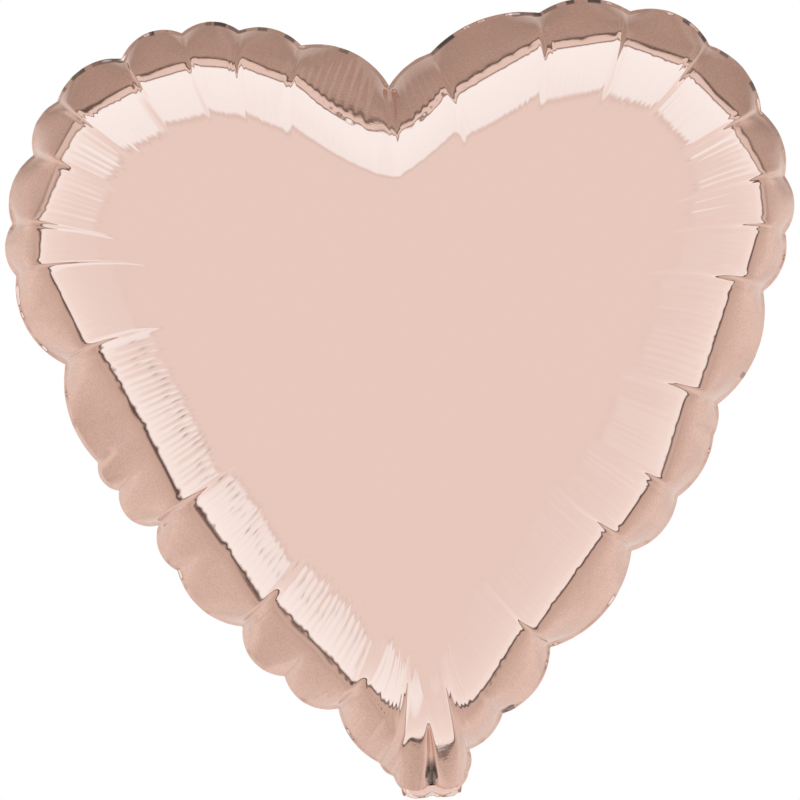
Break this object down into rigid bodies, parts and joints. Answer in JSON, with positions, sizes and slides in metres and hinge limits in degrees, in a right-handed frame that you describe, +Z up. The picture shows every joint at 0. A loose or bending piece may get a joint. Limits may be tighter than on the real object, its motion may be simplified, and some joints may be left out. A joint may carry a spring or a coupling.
{
  "type": "heart-shaped foil balloon",
  "caption": "Inflated heart-shaped metallised foil balloon: two domed foil panels sealed at a puckered lobed rim, with a two-ply inner valve and a fold-up tail.",
  "frame": {"origin": "middle of the neck at the tip of the heart, at the lower edge of its lips, where a ribbon is tied", "axes": "+Z up from the tip to the cleft, +X to the right seen from the front, +Y out of the back panel"},
  "size_m": [0.38, 0.156, 0.3791],
  "materials": {
    "foil": "rose-gold metallised film, mirror bright",
    "valve_film": "clear flexible film"
  },
  "bodies": {
    "envelope": {"front_panel": "foil", "back_panel": "foil"},
    "tail": {"front_tail_film": "foil", "back_tail_film": "foil", "front_tail_valve_ply": "valve_film", "back_tail_valve_ply": "valve_film"},
    "front_valve": {"front_valve_ply": "valve_film"},
    "back_valve": {"back_valve_ply": "valve_film"}
  },
  "joints": [
    {"name": "tail_fold", "type": "hinge", "parent": "envelope", "child": "tail", "pos_m": [0, 0.00195, -0.0025], "axis": [-1, 0, 0], "range_deg": [0, 175]},
    {"name": "front_valve_open", "type": "hinge", "parent": "envelope", "child": "front_valve", "pos_m": [0, -0.00035, 0.0003], "axis": [1, 0, 0], "range_deg": [0, 7], "stiffness_Nm_per_rad": 0.0004},
    {"name": "back_valve_open", "type": "hinge", "parent": "envelope", "child": "back_valve", "pos_m": [0, 0.00035, 0.0003], "axis": [-1, 0, 0], "range_deg": [0, 7], "stiffness_Nm_per_rad": 0.0004}
  ],
  "couplings": [
    {"joint": "back_valve_open", "follows": "front_valve_open", "ratio": 1}
  ]
}
